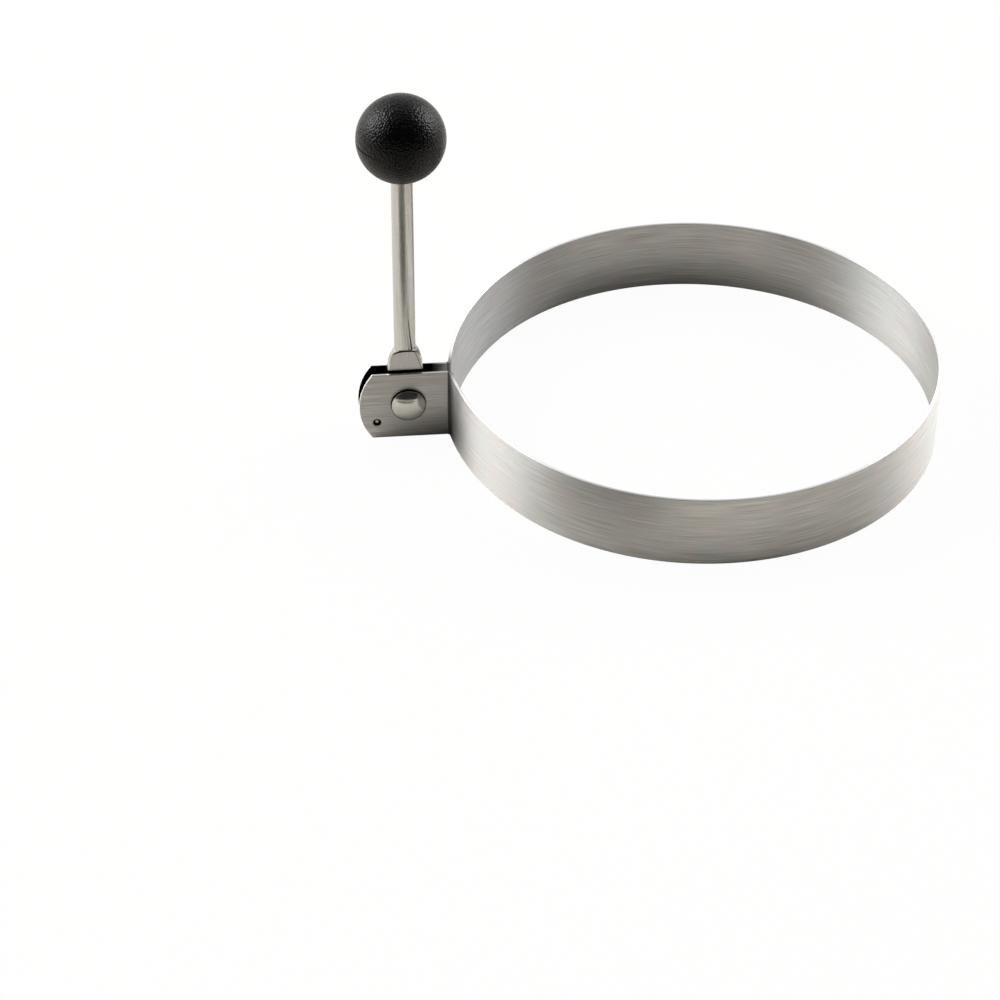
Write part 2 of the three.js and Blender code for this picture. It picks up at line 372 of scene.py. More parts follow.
def ear_columns():
    """Columns along the ear from its end to its bend: the inset of both faces at the rounded end,
    the distance from the end, and the share of what is left up to the bend."""
    columns = [(HALF_THICKNESS, 0, 0)]
    for angle in spread(0, math.pi / 2, CORNER_STEPS):
        inset = EDGE_RADIUS * (1 - math.sin(angle))
        columns.append((inset, EDGE_RADIUS * (1 - math.cos(angle)), 0))
    start = ear_end_x(DIMPLE_Z) + EDGE_RADIUS
    reach = DIMPLE_RADIUS + DIMPLE_SKIRT
    first = (start + EDGE_SUPPORT, *spread(start, DIMPLE_X - reach, EAR_END_STEPS)[1:-1])
    fine = spread(DIMPLE_X - reach, DIMPLE_X + reach, round(2 * reach / DIMPLE_STEP))
    rest = spread(DIMPLE_X + reach, BEND_X, EAR_STEPS)[1:-1]
    for x in (*first, *fine, *rest):
        columns.append((0, EDGE_RADIUS, (x - start) / (BEND_X - start)))
    return columns


def dimple_depth(x, z):
    """How far the punched bowl presses the ear in at a place."""
    away = math.hypot(x - DIMPLE_X, z - DIMPLE_Z)
    bowl = math.sqrt(1 - (away / DIMPLE_RADIUS) ** 2) if away < DIMPLE_RADIUS else 0
    skirt = 1 - smooth_step((away - DIMPLE_RADIUS) / DIMPLE_SKIRT)
    return DIMPLE_DEPTH * bowl**DIMPLE_BOWL_POWER + DIMPLE_SKIRT_DEPTH * skirt


def make_hoop():
    """The strip, from one ear's end round the hoop to the other's, with the rivet's holes."""
    section = strip_section()
    rings = []
    for side in (1, -1):
        half = []
        for inset, standoff, share in ear_columns():
            ring = []
            for offset, height in section:
                start = ear_end_x(height) + standoff
                x = lerp(start, BEND_X, share)
                held = math.copysign(max(abs(offset) - inset, 0), offset)
                y = EAR_MIDDLE + held - dimple_depth(x, height)
                ring.append((Vector((x, side * y, height)), side * (x - BEND_X), 0))
            half.append(ring)
        for middle, normal, distance in curved_stations():
            ring = []
            for offset, height in section:
                place = middle + normal * offset
                ring.append((Vector((place.x, side * place.y, height)), side * distance, 0))
            half.append(ring)
        rings += half if side == 1 else half[-2::-1]
    hoop = loft("steel_hoop", rings, way_round(section))
    hole = circle(Vector((PIVOT.x, PIVOT.z)), RIVET_HOLE_RADIUS)
    cut(hoop, prism_along_y("hole", hole, EAR_OUTER_FACE + CUT_OVERRUN), "DIFFERENCE")
    shade(hoop)
    return hoop


TURN_STEPS = 96


def turned(name, profile, angles):
    """A body turned about Z from a profile of (radius, height), which starts and ends on the axis.
    The angles go once round, with the last a full turn past the first."""
    rings = []
    length = 0
    for i, point in enumerate(profile):
        length += (point - profile[i - 1]).length if i else 0
        ring = []
        for angle in angles[:-1]:
            place = Vector((point.x * math.cos(angle), point.x * math.sin(angle), point.y))
            ring.append((place, length, 0))
        rings.append(ring)
    return loft(name, rings, angles)


HEAD_STEPS = 20
ROLL_STEPS = 12


def make_rivet():
    """The rivet is turned about its own Z, with its tail up, and then laid along Y."""
    dome_height = HEAD_HEIGHT - HEAD_RIM_HEIGHT
    dome_radius = (HEAD_RADIUS**2 + dome_height**2) / (2 * dome_height)
    half_angle = math.asin(HEAD_RADIUS / dome_radius)
    dome_centre = Vector((0, dome_radius - RIVET_SEAT - HEAD_HEIGHT))
    dome = arc(dome_centre, dome_radius, -math.pi / 2, half_angle - math.pi / 2, HEAD_STEPS)[:-1]
    rim = Vector((HEAD_RADIUS - HEAD_RIM_ROUND, -RIVET_SEAT - HEAD_RIM_ROUND))
    rim_round = arc(rim, HEAD_RIM_ROUND, 0, math.pi / 2, CORNER_STEPS)
    roll_radius = (TAIL_RADIUS - TAIL_HOLE_RADIUS) / 2
    tail_end = RIVET_SEAT + TAIL_HEIGHT
    roll_centre = Vector((TAIL_HOLE_RADIUS + roll_radius, tail_end - roll_radius))
    roll = arc(roll_centre, roll_radius, 0, math.pi, ROLL_STEPS)
    profile = [
        *dome,
        Vector((HEAD_RADIUS, -RIVET_SEAT - HEAD_RIM_HEIGHT)),
        *rim_round,
        Vector((SHANK_RADIUS, -RIVET_SEAT)),
        Vector((SHANK_RADIUS, RIVET_SEAT)),
        Vector((TAIL_RADIUS, RIVET_SEAT)),
        *roll,
        Vector((TAIL_HOLE_RADIUS, tail_end - TAIL_HOLE_DEPTH)),
        Vector((0, tail_end - TAIL_HOLE_DEPTH)),
    ]
    rivet = turned("rivet", profile, spread(0, 2 * math.pi, TURN_STEPS))
    rivet.matrix_world = Matrix.Translation(PIVOT) @ Matrix.Rotation(-math.pi / 2, 4, "X")
    shade(rivet)
    return rivet


HANDLE_TURN = Matrix.Translation(PIVOT) @ Matrix.Rotation(-REST_LEAN, 4, "Y")
HANDLE_PLACE = HANDLE_TURN @ Matrix.Translation((-TANG_HOLE_OFFSET, 0, 0))
EDGE_POINTS = 44
CREASE_POINTS = 10
BACK_POINTS = 48
TANG_STEPS = 8
TAPER_STEPS = 60
BITE_STEPS = 12
SHOULDER_STEPS = 24
CREASE_STEPS = 30
TUBE_STEPS = 40


def crease_at(height):
    """The fold at a height: its offset from the handle's middle, its depth, and its share of the
    full width."""
    share = clamp((height - CREASE_FOOT) / (CREASE_TOP - CREASE_FOOT))
    offset = lerp(CREASE_TOP_OFFSET, CREASE_FOOT_OFFSET, (1 - share) ** CREASE_CURVE)
    shown = smooth_step((height - CREASE_FOOT) / (CREASE_RISE_SHARE * SHOULDER_LENGTH))
    return offset, CREASE_DEPTH * shown * (1 - share), lerp(1, CREASE_TOP_WIDTH_SHARE, share)


def line_share(away, half_width):
    """1 at a line's middle, falling to 0 at its half width."""
    return clamp(1 - abs(away) / half_width)


def tube_painted_shade_at(x, side, height, border, offset, depth):
    """Share of painted shade on the handle: the part of the tang between the ears, the imprint's arch
    and right border, the fold, and the shoulder's right end. The imprint's face is darkened a little."""
    slot = clamp((SLOT_SHADE_HEIGHT - height) / SLOT_SHADE_FADE + 1)
    arch = clamp(ARCH_SHADE_PEAK * line_share(height - SHOULDER_START, ARCH_SHADE_HALF_WIDTH))
    arch *= clamp(border / ARCH_SHADE_HALF_WIDTH + 1) * clamp((ARCH_SHADE_LEFT + x) / ARCH_SHADE_HALF_WIDTH)
    rim = RIM_SHADE * line_share(border, RIM_SHADE_HALF_WIDTH) if height < SHOULDER_START else 0
    fold = 0
    if side == -1:
        fold = CREASE_SHADE * line_share(x - offset, CREASE_SHADE_HALF_WIDTH) * math.sqrt(depth / CREASE_DEPTH)
    face = IMPRINT_DARKENING if border > 0 and height < SHOULDER_START else 0
    corner = CORNER_TOP_SHADE * line_share(height - SHOULDER_START - CORNER_TOP_RISE, CORNER_TOP_REACH)
    corner *= smooth_step((x - CORNER_TOP_X) / (TUBE_RADIUS - CORNER_TOP_X))
    return max(slot, arch, rim, fold, face, corner)


def half_widths(height, droop):
    """The handle's width at a height, left and right of its middle: the left edge slopes and the
    right one has a round shoulder. The edges themselves droop below the height."""
    left = clamp((height - droop - LEFT_TAPER_START) / (TAPER_END - LEFT_TAPER_START))
    right_height = height - RIGHT_DROOP_SHARE * droop
    right = clamp((right_height - RIGHT_TAPER_START) / (TAPER_END - RIGHT_TAPER_START))
    shares = (left**LEFT_TAPER_POWER, 1 - math.sqrt(1 - right**2))
    return [lerp(TANG_WIDTH / 2, TUBE_RADIUS, share) for share in shares]


def section_angles(fold, window):
    """Angles round the handle: the front's, which crowd round the fold, and the back's."""
    quarter = math.pi / 2
    front = [
        *spread(-quarter, fold - window, EDGE_POINTS)[:-1],
        *spread(fold - window, fold + window, CREASE_POINTS),
        *spread(fold + window, quarter, EDGE_POINTS)[1:],
    ]
    return front, spread(quarter, -quarter, BACK_POINTS)[1:-1]


def imprint_depth(height, swelling):
    """Depth of the die's imprint at a height, with its arch's bite."""
    bite = ARCH_BITE * clamp(1 - abs(height - SHOULDER_START) / ARCH_BITE_WIDTH)
    return (1 - swelling) * PRESS_STEP + bite


def imprint_margin(x, height):
    """Width that the imprint leaves free beside it. On the right it grows towards the arch."""
    rise = smooth_step((height - IMPRINT_MARGIN_START) / (SHOULDER_START - IMPRINT_MARGIN_START))
    return lerp(IMPRINT_MARGIN, IMPRINT_MARGIN_TOP, rise) if x > 0 else IMPRINT_MARGIN


def tube_section(height, wall=0.0):
    """Points round the handle at a height: flat on two faces, with its edges folded round and the
    imprint's face a small step below them."""
    swelling = smooth_step((height - SHOULDER_START) / SHOULDER_LENGTH)
    half_thickness = lerp(TANG_THICKNESS / 2, TUBE_RADIUS, swelling)
    shrink = 1 - wall / half_thickness
    droop = ARCH_DROOP * math.sin(math.pi * clamp((height - DROOP_START) / (DROOP_END - DROOP_START)))
    left, right = half_widths(height, droop)
    offset, depth, width_share = crease_at(height)
    window = math.asin(CREASE_HALF_WIDTH / TUBE_RADIUS)
    fold = math.asin(offset / right)
    front, back = section_angles(fold, window)
    ring = []
    for side, angles in ((-1, front), (1, back)):
        for angle in angles:
            half_width = right if angle > 0 else left
            edge_round = min(lerp(TANG_EDGE_ROUND, TUBE_RADIUS, swelling), half_width)
            x = half_width * math.sin(angle)
            past = max(abs(x) - (half_width - edge_round), 0) / edge_round
            y = half_thickness * math.sqrt(max(1 - past**2, 0))
            margin = imprint_margin(x, height)
            imprint = smooth_step((half_width - margin - abs(x)) / PRESS_STEP_WIDTH)
            y -= imprint * imprint_depth(height, swelling)
            if side == -1:
                lean = window * width_share * (1 if angle < fold else CREASE_STEEP_SHARE)
                y -= depth * clamp(1 - abs(angle - fold) / lean)
            across = abs(x) / half_width
            drop = droop * (RIGHT_DROOP_SHARE * across**ARCH_STEEPNESS if x > 0 else across**2)
            border = half_width - margin - PRESS_STEP_WIDTH / 2 - x
            grime = tube_painted_shade_at(x, side, height, border, offset, depth)
            ring.append((Vector((x * shrink, side * y * shrink, height - drop)), height, grime))
    return ring


def make_tube():
    """The handle's tube. Its own zero is its middle at the rivet's height."""
    bite = (SHOULDER_START - ARCH_BITE_WIDTH, SHOULDER_START + ARCH_BITE_WIDTH)
    heights = [
        *spread(-TANG_WIDTH, LEFT_TAPER_START, TANG_STEPS)[:-1],
        *spread(LEFT_TAPER_START, bite[0], TAPER_STEPS)[:-1],
        *spread(*bite, BITE_STEPS)[:-1],
        *spread(bite[1], SHOULDER_START + SHOULDER_LENGTH, SHOULDER_STEPS)[:-1],
        *spread(SHOULDER_START + SHOULDER_LENGTH, CREASE_TOP, CREASE_STEPS)[:-1],
        *spread(CREASE_TOP, TUBE_TOP, TUBE_STEPS),
    ]
    outer = [tube_section(height) for height in heights]
    hollow = [height for height in heights if height > SHOULDER_START + SHOULDER_LENGTH]
    inner = [tube_section(height, wall=TUBE_WALL) for height in hollow]
    around = way_round([point[0] for point in outer[-1]])
    tube = loft("tube_handle", [*outer, *reversed(inner)], around)
    half_width = TANG_WIDTH / 2
    top = TUBE_TOP + CUT_OVERRUN
    silhouette = [
        *arc(Vector((0, 0)), half_width, math.pi, 2 * math.pi, HOLE_STEPS // 2),
        Vector((half_width + CUT_OVERRUN, CUT_OVERRUN)),
        Vector((half_width + CUT_OVERRUN, top)),
        Vector((-half_width - CUT_OVERRUN, top)),
        Vector((-half_width - CUT_OVERRUN, CUT_OVERRUN)),
    ]
    cut(tube, prism_along_y("silhouette", silhouette, TUBE_RADIUS + CUT_OVERRUN), "INTERSECT")
    hole = circle(Vector((TANG_HOLE_OFFSET, 0)), RIVET_HOLE_RADIUS)
    cut(tube, prism_along_y("hole", hole, TANG_THICKNESS), "DIFFERENCE")
    tube.matrix_world = HANDLE_PLACE
    shade(tube)
    return tube


KNOB_STEPS = 192
KNOB_ARC_STEPS = 44
GATE_STEP = 0.00007


def groove_share(place):
    """Share of the parting groove's full depth: it is deep at the ball's -X side and faint elsewhere."""
    side = (-place.x / KNOB_RADIUS - GROOVE_FAINT_END) / (1 - GROOVE_FAINT_END)
    return lerp(GROOVE_FAINT_SHARE, 1, smooth_step(side))


def gate_height(place):
    """How far the gate's mark stands proud of the ball: a low ring, with its middle level with the ball."""
    gate = KNOB_RADIUS * Vector((math.cos(GATE_ANGLE), math.sin(GATE_ANGLE), 0))
    away = (place - gate).length
    return GATE_HEIGHT * clamp(1 - abs(away - GATE_RADIUS) / GATE_LIP)


def make_ball():
    """The knob, with the ball's middle at its own zero and the bore's mouth below."""
    mouth_radius = BORE_RADIUS + BORE_CHAMFER
    mouth_angle = math.acos(mouth_radius / KNOB_RADIUS)
    mouth_drop = math.sqrt(KNOB_RADIUS**2 - mouth_radius**2)
    groove_angle = math.asin(GROOVE_HALF_WIDTH / KNOB_RADIUS)
    middle = Vector((0, 0))
    gate_reach = GATE_RADIUS + 2 * GATE_LIP
    gate_band = gate_reach / KNOB_RADIUS
    fine_steps = round(gate_reach / GATE_STEP)
    profile = [
        Vector((0, BORE_TOP)),
        Vector((BORE_RADIUS, BORE_TOP)),
        Vector((BORE_RADIUS, BORE_CHAMFER - mouth_drop)),
        *arc(middle, KNOB_RADIUS, -mouth_angle, -gate_band, KNOB_ARC_STEPS)[:-1],
        *arc(middle, KNOB_RADIUS, -gate_band, -groove_angle, fine_steps),
        Vector((KNOB_RADIUS - GROOVE_DEPTH, 0)),
        *arc(middle, KNOB_RADIUS, groove_angle, gate_band, fine_steps),
        *arc(middle, KNOB_RADIUS, gate_band, math.pi / 2, KNOB_ARC_STEPS)[1:],
    ]
    profile[-1].x = 0
    angles = [
        *spread(GATE_ANGLE - gate_band, GATE_ANGLE + gate_band, 2 * fine_steps)[:-1],
        *spread(GATE_ANGLE + gate_band, GATE_ANGLE - gate_band + 2 * math.pi, KNOB_STEPS),
    ]
    ball = turned("ball", profile, angles)
    for vertex in ball.data.vertices:
        height = gate_height(vertex.co)
        if vertex.co.z == 0:
            vertex.co = vertex.co.normalized() * (KNOB_RADIUS - GROOVE_DEPTH * groove_share(vertex.co))
        elif height:
            vertex.co = vertex.co.normalized() * (KNOB_RADIUS + height)
    ball.matrix_world = HANDLE_PLACE @ Matrix.Translation((0, 0, KNOB_REACH))
    shade(ball)
    return ball


# Materials.


def node(tree, kind, values=None, **settings):
    """Makes a node. A value that is an output socket is linked, and any other one is set."""
    made = tree.nodes.new("ShaderNode" + kind)
    for key, value in settings.items():
        setattr(made, key, value)
    for key, value in (values or {}).items():
        put(tree, value, made.inputs[key])
    return made


def put(tree, value, socket):
    """Links an output socket to an input, or sets the input to a plain value."""
    if isinstance(value, bpy.types.NodeSocket):
        tree.links.new(value, socket)
    else:
        socket.default_value = value


def new_material(name):
    """A material with a lone Principled shader."""
    material, tree = blank_material(name)
    shader = node(tree, "BsdfPrincipled")
    node(tree, "OutputMaterial", {"Surface": shader.outputs[0]})
    return material, tree, shader


def blank_material(name):
    material = bpy.data.materials.new(name)
    material.use_nodes = True
    material.node_tree.nodes.clear()
    return material, material.node_tree


def own_parts(tree):
    """A place on the piece in the piece's own coordinates, as X, Y and Z."""
    return node(tree, "SeparateXYZ", {0: node(tree, "TexCoord").outputs["Object"]}).outputs


def own_normal(tree):
    """The surface's direction in the piece's own coordinates."""
    return node(tree, "SeparateXYZ", {0: node(tree, "TexCoord").outputs["Normal"]}).outputs


def map_parts(tree, name):
    """A place on one of the piece's maps, as X and Y."""
    return node(tree, "SeparateXYZ", {0: node(tree, "UVMap", uv_map=name).outputs["UV"]}).outputs


def streaks(tree, width, length):
    """Noise drawn out along the grain, as lines of a width and length in metres."""
    place = node(tree, "UVMap", uv_map=GRAIN_MAP)
    scale = (1 / width, 1 / length, 1)
    stretched = node(tree, "Mapping", {"Vector": place.outputs["UV"], "Scale": scale})
    return noise(tree, stretched.outputs[0], 1)


def clouds(tree, size):
    """Even noise over the piece, with blotches of a size in metres."""
    return noise(tree, node(tree, "TexCoord").outputs["Object"], 1 / size)


NOISE_DETAIL = 2


def noise(tree, place, scale):
    values = {"Vector": place, "Scale": scale, "Detail": NOISE_DETAIL}
    return node(tree, "TexNoise", values).outputs["Fac"]


def between(tree, value, low, high, to_low, to_high):
    """Maps a value from one span to another, held at both ends."""
    spans = {"Value": value, "From Min": low, "From Max": high, "To Min": to_low, "To Max": to_high}
    return node(tree, "MapRange", spans).outputs["Result"]


def mixed(tree, share, first, second, blend_type="MIX"):
    """Colour mixed from one to another."""
    made = node(tree, "Mix", data_type="RGBA", blend_type=blend_type)
    for key, kind, value in (("Factor", "VALUE", share), ("A", "RGBA", first), ("B", "RGBA", second)):
        put(tree, value, next(s for s in made.inputs if s.name == key and s.type == kind))
    return next(s for s in made.outputs if s.type == "RGBA")


def computed(tree, operation, *values):
    return node(tree, "Math", dict(enumerate(values)), operation=operation).outputs[0]


def added(tree, first, second, share):
    """The first value plus a share of the second."""
    return computed(tree, "MULTIPLY_ADD", second, share, first)


def product(tree, first, *others):
    for other in others:
        first = computed(tree, "MULTIPLY", first, other)
    return first


def largest(tree, first, *others):
    for other in others:
        first = computed(tree, "MAXIMUM", first, other)
    return first


def step_length(tree, across, up):
    """Length of a step given by its two parts."""
    return computed(tree, "SQRT", added(tree, product(tree, across, across), up, up))


def from_axis(tree, parts, x, z):
    """Distance from an axis along Y."""
    across = computed(tree, "SUBTRACT", parts["X"], x)
    return step_length(tree, across, computed(tree, "SUBTRACT", parts["Z"], z))


def line_at(tree, value, centre, half_width, fade):
    """1 within a distance of a centre, fading to 0 beyond it."""
    away = computed(tree, "ABSOLUTE", computed(tree, "SUBTRACT", value, centre))
    return between(tree, away, half_width, half_width + fade, 1, 0)


# Steel: greys, tints and the painted shade are linear colours, and spans are those that noise is stretched
# from.
# Near-black colour of the painted shade in creases, crevices, the slot and the hoop's inside.
PAINTED_SHADE = (0.003, 0.0027, 0.0023, 1)
PAINTED_SHADE_ROUGHNESS = 0.7
# Near-white steel for the edges: partly a burnish, partly a painted highlight.
BURNISH_AND_HIGHLIGHT = (0.96, 0.96, 0.95, 1)
FINE_SPAN = (0.32, 0.68)
FINE_SHARE = 0.75
BROAD_SPAN = (0.3, 0.7)
BROAD_SHARE = 0.25
BROAD_WIDTH_TIMES = 4
BROAD_LENGTH_TIMES = 1.5
TINT_SPAN = (0.4, 0.6)
TINT_SIZE = 0.007
GRAIN_HEIGHT = 0.00002


def steel(name, look, grime, burnish_and_highlight=None):
    """Steel with a grain along its map, from two greys and two faint tints. Painted shade blackens a share
    of it, and a burnish with a painted highlight brightens a share."""
    material, tree, shader = new_material(name)
    width, length = look["line_width"], look["line_length"]
    fine = streaks(tree, width, length)
    broad = streaks(tree, width * BROAD_WIDTH_TIMES, length * BROAD_LENGTH_TIMES)
    fine = between(tree, fine, *FINE_SPAN, 0, FINE_SHARE)
    grain = added(tree, fine, between(tree, broad, *BROAD_SPAN, 0, 1), BROAD_SHARE)
    tint = between(tree, clouds(tree, TINT_SIZE), *TINT_SPAN, 0, 1)
    tint = mixed(tree, tint, look["warm"], look["cool"])
    grey = mixed(tree, grain, look["dark"], look["light"])
    colour = mixed(tree, 1, grey, tint, "MULTIPLY")
    if burnish_and_highlight:
        colour = mixed(tree, burnish_and_highlight(tree), colour, BURNISH_AND_HIGHLIGHT)
    # Painted shade darkens the base colour by its share.
    painted_shade_share = grime(tree)
    tree.links.new(mixed(tree, painted_shade_share, colour, PAINTED_SHADE), shader.inputs["Base Color"])
    smooth, rough = look["roughness"]
    roughness = between(tree, grain, 0, 1, rough, smooth)
    roughness = between(tree, painted_shade_share, 0, 1, roughness, PAINTED_SHADE_ROUGHNESS)
    tree.links.new(roughness, shader.inputs["Roughness"])
    bump = node(tree, "Bump", {"Height": grain, "Strength": look["bump"], "Distance": GRAIN_HEIGHT})
    tree.links.new(bump.outputs[0], shader.inputs["Normal"])
    tangent = node(tree, "Tangent", direction_type="UV_MAP", uv_map=GRAIN_MAP)
    tree.links.new(tangent.outputs[0], shader.inputs["Tangent"])
    shader.inputs["Metallic"].default_value = 1
    shader.inputs["Anisotropic"].default_value = look["anisotropy"]
    return material


# Strip's look and its painted shade. Darkness is a share of black, and tilt is a part of the normal.
BAND_LOOK = {
    "dark": (0.5, 0.498, 0.49, 1),
    "light": (0.81, 0.81, 0.8, 1),
    "warm": (1, 0.97, 0.965, 1),
    "cool": (0.975, 0.99, 0.985, 1),
    "roughness": (0.4, 0.5),
    "anisotropy": 0.8,
    "bump": 0.5,
    "line_width": 0.00016,
    "line_length": 0.011,
}
# Span along the ears of the painted shade on their inner faces.
SLOT_FACE_SHADE_START = BEND_X - 0.0031
SLOT_FACE_SHADE_END = BEND_X - 0.0002
SLOT_FACE_SHADE_FADE = 0.0001
REAR_FACE_FADE = 0.00012
FOLD_START = 0.0001
FOLD_RISE = 0.0002
FOLD_END = 0.0012
FOLD_FADE = 0.004
FOLD_DARKNESS = 0.75
CREVICE_FADE = 0.00022
DIMPLE_RING_RADIUS = 0.0006
DIMPLE_RING_HALF_WIDTH = 0.00018
DIMPLE_RING_FADE = 0.00018
CORNER_DARKNESS = 0.1
CORNER_TILT_SPAN = (0.15, 0.3)
FLAT_TILT_SPAN = (0.8, 0.95)
HINGE_SHADE_START = -0.02
HINGE_SHADE_END = -0.04
HINGE_SHADE_DARKNESS = 0.45
FOOT_SHADE_DARKNESS = 0.3
FAR_SHADE_START = 0.02
FAR_SHADE_END = 0.032
FAR_SHADE_DARKNESS = 0.11
EAR_SHADE_LOW = 0.001
EAR_SHADE_HIGH = 0.008
EAR_SHADE_DARKNESS = 0.55
EDGE_TILT_SPAN = (0.6, 0.8)
EAR_END_TILT_SPAN = (0.5, 0.75)


def slot_painted_shade(tree, parts):
    """Painted shade on the ears' inner faces, but not on the rear ear's outer one."""
    inner = between(tree, parts["Y"], -EAR_INNER_FACE - SLOT_FACE_SHADE_FADE, -EAR_INNER_FACE, 0, 1)
    rear_face = EAR_OUTER_FACE - REAR_FACE_FADE
    rear = between(tree, parts["Y"], rear_face - REAR_FACE_FADE, rear_face, 1, 0)
    return product(tree, inner, rear, between(tree, parts["X"], SLOT_FACE_SHADE_START, SLOT_FACE_SHADE_END, 1, 0))


def bend_painted_shade(tree, parts):
    """Painted shade in the corner where an ear turns into the hoop, on the hoop's side of the fold."""
    along = product(tree, map_parts(tree, GRAIN_MAP)["Y"], computed(tree, "SIGN", parts["Y"]))
    rising = between(tree, along, FOLD_START, FOLD_START + FOLD_RISE, 0, FOLD_DARKNESS)
    return product(tree, rising, between(tree, along, FOLD_END, FOLD_END + FOLD_FADE, 1, 0))


def crevice_painted_shade(tree, parts):
    """Painted shade in the crevices round the rivet's head and tail, and a painted ring of shade in each
    dimple.
    """
    away = from_axis(tree, parts, PIVOT.x, PIVOT.z)
    head_side = between(tree, parts["Y"], -EAR_INNER_FACE, EAR_INNER_FACE, 1, 0)
    head = product(tree, line_at(tree, away, 0, HEAD_RADIUS, CREVICE_FADE), head_side)
    tail = line_at(tree, away, 0, TAIL_RADIUS, CREVICE_FADE)
    from_dimple = from_axis(tree, parts, DIMPLE_X, DIMPLE_Z)
    ring = line_at(tree, from_dimple, DIMPLE_RING_RADIUS, DIMPLE_RING_HALF_WIDTH, DIMPLE_RING_FADE)
    return largest(tree, head, tail, ring)


def corner_painted_shade(tree, normal):
    """Painted shade on the rounded corners of the strip's upper and lower edges."""
    tilt = computed(tree, "ABSOLUTE", normal["Z"])
    rounded = between(tree, tilt, *CORNER_TILT_SPAN, 0, CORNER_DARKNESS)
    return product(tree, rounded, between(tree, tilt, *FLAT_TILT_SPAN, 1, 0))


def inside_painted_shade(tree, parts, normal):
    """Painted shade on the hoop's inside: darker at its foot, beside the hinge, and a little opposite the
    hinge.
    """
    across = computed(tree, "SUBTRACT", parts["X"], HOOP_CENTRE_X)
    outwards = added(tree, product(tree, across, normal["X"]), parts["Y"], normal["Y"])
    inside = between(tree, outwards, -HOOP_RADIUS / 2, 0, 1, 0)
    foot = between(tree, parts["Z"], 0, STRIP_HEIGHT / 2, FOOT_SHADE_DARKNESS, 0)
    beside_hinge = between(tree, across, HINGE_SHADE_START, HINGE_SHADE_END, 0, HINGE_SHADE_DARKNESS)
    opposite = between(tree, across, FAR_SHADE_START, FAR_SHADE_END, 0, FAR_SHADE_DARKNESS)
    return product(tree, inside, largest(tree, foot, beside_hinge, opposite))


def ear_shade(tree, parts):
    """Painted shade on the ears' lower corner next to the bend."""
    low = between(tree, parts["Z"], EAR_SHADE_LOW, EAR_SHADE_HIGH, EAR_SHADE_DARKNESS, 0)
    near_bend = between(tree, parts["X"], DIMPLE_X, BEND_X, 0, 1)
    on_ear = between(tree, parts["X"], BEND_X, BEND_X + BEND_RADIUS, 1, 0)
    return product(tree, low, near_bend, on_ear)


def band_painted_shade(tree):
    """The strip's share of painted shade, the largest of its shaded places'."""
    parts = own_parts(tree)
    normal = own_normal(tree)
    return largest(
        tree,
        slot_painted_shade(tree, parts),
        bend_painted_shade(tree, parts),
        crevice_painted_shade(tree, parts),
        corner_painted_shade(tree, normal),
        inside_painted_shade(tree, parts, normal),
        ear_shade(tree, parts),
    )


def band_burnish_and_highlight(tree):
    """The strip's cut edges, between their corners: the upper and lower ones and the ears' ends. They are
    brightened partly as a burnish and partly as a painted highlight.
    """
    normal = own_normal(tree)
    edge = between(tree, computed(tree, "ABSOLUTE", normal["Z"]), *EDGE_TILT_SPAN, 0, 1)
    end = between(tree, computed(tree, "ABSOLUTE", normal["X"]), *EAR_END_TILT_SPAN, 0, 1)
    on_ear = between(tree, own_parts(tree)["X"], SLOT_FACE_SHADE_START, SLOT_FACE_SHADE_END, 1, 0)
    return largest(tree, edge, product(tree, end, on_ear))


def band_steel():
    return steel("band_steel", BAND_LOOK, band_painted_shade, band_burnish_and_highlight)


TUBE_LOOK = {
    "dark": (0.51, 0.51, 0.5, 1),
    "light": (0.63, 0.63, 0.62, 1),
    "warm": (1, 0.975, 0.965, 1),
    "cool": (0.98, 0.99, 0.98, 1),
    "roughness": (0.2, 0.34),
    "anisotropy": 0.3,
    "bump": 0.35,
    "line_width": 0.00016,
    "line_length": 0.01,
}
TANG_EDGE_TILT_SPAN = (0.3, 0.6)


def tube_painted_shade(tree):
    """The handle's share of painted shade, which its mesh carries."""
    return map_parts(tree, PAINTED_SHADE_MAP)["X"]


def tube_burnish_and_highlight(tree):
    """The tang's folded edges, below the shoulder, brightened partly as a burnish and partly as a painted
    highlight.
    """
    tilt = computed(tree, "ABSOLUTE", own_normal(tree)["X"])
    low = between(tree, own_parts(tree)["Z"], DROOP_START, SHOULDER_START - SHOULDER_LENGTH, 1, 0)
    return product(tree, between(tree, tilt, *TANG_EDGE_TILT_SPAN, 0, 1), low)


def tube_steel():
    return steel("tube_steel", TUBE_LOOK, tube_painted_shade, tube_burnish_and_highlight)


RIVET_LOOK = {
    "dark": (0.56, 0.555, 0.54, 1),
    "light": (0.66, 0.655, 0.64, 1),
    "warm": (1, 0.98, 0.97, 1),
    "cool": (0.98, 0.99, 0.98, 1),
    "roughness": (0.1, 0.2),
    "anisotropy": 0,
    "bump": 0.1,
    "line_width": 0.3,
    "line_length": 0.0004,
}
HEAD_RIM_FADE = 0.00012
HEAD_RIM_DRIFT = 0.05


def rivet_painted_shade(tree):
    """Painted shade on the head's rim, which is black and more so below. The rivet's axis is its own Z,
    and its own +Y is down."""
    parts = own_parts(tree)
    radius = added(tree, step_length(tree, parts["X"], parts["Y"]), parts["Y"], HEAD_RIM_DRIFT)
    head = between(tree, parts["Z"], -RIVET_SEAT, RIVET_SEAT, 1, 0)
    return product(tree, between(tree, radius, HEAD_RADIUS - HEAD_RIM_FADE, HEAD_RADIUS, 0, 1), head)


def rivet_steel():
    return steel("rivet_steel", RIVET_LOOK, rivet_painted_shade)


